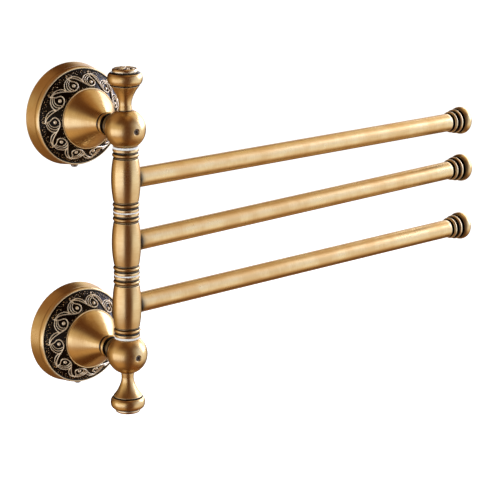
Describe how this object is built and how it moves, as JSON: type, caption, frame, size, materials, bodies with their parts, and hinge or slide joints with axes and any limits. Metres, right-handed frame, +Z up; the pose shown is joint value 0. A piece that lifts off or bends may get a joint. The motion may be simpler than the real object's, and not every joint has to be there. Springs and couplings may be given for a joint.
{
  "type": "swing arm towel bar",
  "caption": "Wall-mounted towel bar with slender arms that swing on one upright pin between two round carved rosettes, in antique brass.",
  "frame": {"origin": "Centre of the wall-screw pattern, on the wall plane, midway between the two rosettes.", "axes": "+Z up along the upright pin, +X along the arms as they hang at rest, +Y into the wall."},
  "size_m": [0.3183, 0.0691, 0.2032],
  "materials": {
    "antique_brass": "brushed antique brass with dark patina in the recesses",
    "plate_steel": "plain steel",
    "screw_steel": "dull grey steel",
    "white_nylon": "turned white nylon"
  },
  "bodies": {
    "wall_frame": {"upper_wall_plate": "plate_steel", "lower_wall_plate": "plate_steel", "upper_rosette": "antique_brass", "lower_rosette": "antique_brass", "upper_rosette_grub_screw": "screw_steel", "lower_rosette_grub_screw": "screw_steel", "upper_bell_post": "antique_brass", "lower_bell_post": "antique_brass", "upper_post_screw": "screw_steel", "lower_post_screw": "screw_steel", "upper_lock_washer": "screw_steel", "lower_lock_washer": "screw_steel", "upper_ball": "antique_brass", "lower_ball": "antique_brass", "upper_ball_grub_screw": "screw_steel", "lower_ball_grub_screw": "screw_steel", "pin": "plate_steel", "upper_finial": "antique_brass", "lower_finial": "antique_brass", "upper_finial_cap": "antique_brass", "lower_finial_cap": "antique_brass", "upper_end_washer": "white_nylon", "lower_end_washer": "white_nylon", "upper_thin_washer": "white_nylon", "lower_thin_washer": "white_nylon"},
    "top_arm": {"top_sleeve": "antique_brass", "top_arm_spigot": "antique_brass", "top_arm_tube": "antique_brass", "top_arm_end_cap": "antique_brass"},
    "middle_arm": {"middle_sleeve": "antique_brass", "middle_arm_spigot": "antique_brass", "middle_arm_tube": "antique_brass", "middle_arm_end_cap": "antique_brass"},
    "bottom_arm": {"bottom_sleeve": "antique_brass", "bottom_arm_spigot": "antique_brass", "bottom_arm_tube": "antique_brass", "bottom_arm_end_cap": "antique_brass"}
  },
  "joints": [
    {"name": "top_arm_swing", "type": "hinge", "parent": "wall_frame", "child": "top_arm", "pos_m": [0, -0.0576, 0.037], "axis": [0, 0, 1], "range_deg": [-195, 3]},
    {"name": "middle_arm_swing", "type": "hinge", "parent": "wall_frame", "child": "middle_arm", "pos_m": [0, -0.0576, 0], "axis": [0, 0, 1], "range_deg": [-195, 3]},
    {"name": "bottom_arm_swing", "type": "hinge", "parent": "wall_frame", "child": "bottom_arm", "pos_m": [0, -0.0576, -0.037], "axis": [0, 0, 1], "range_deg": [-195, 3]}
  ]
}
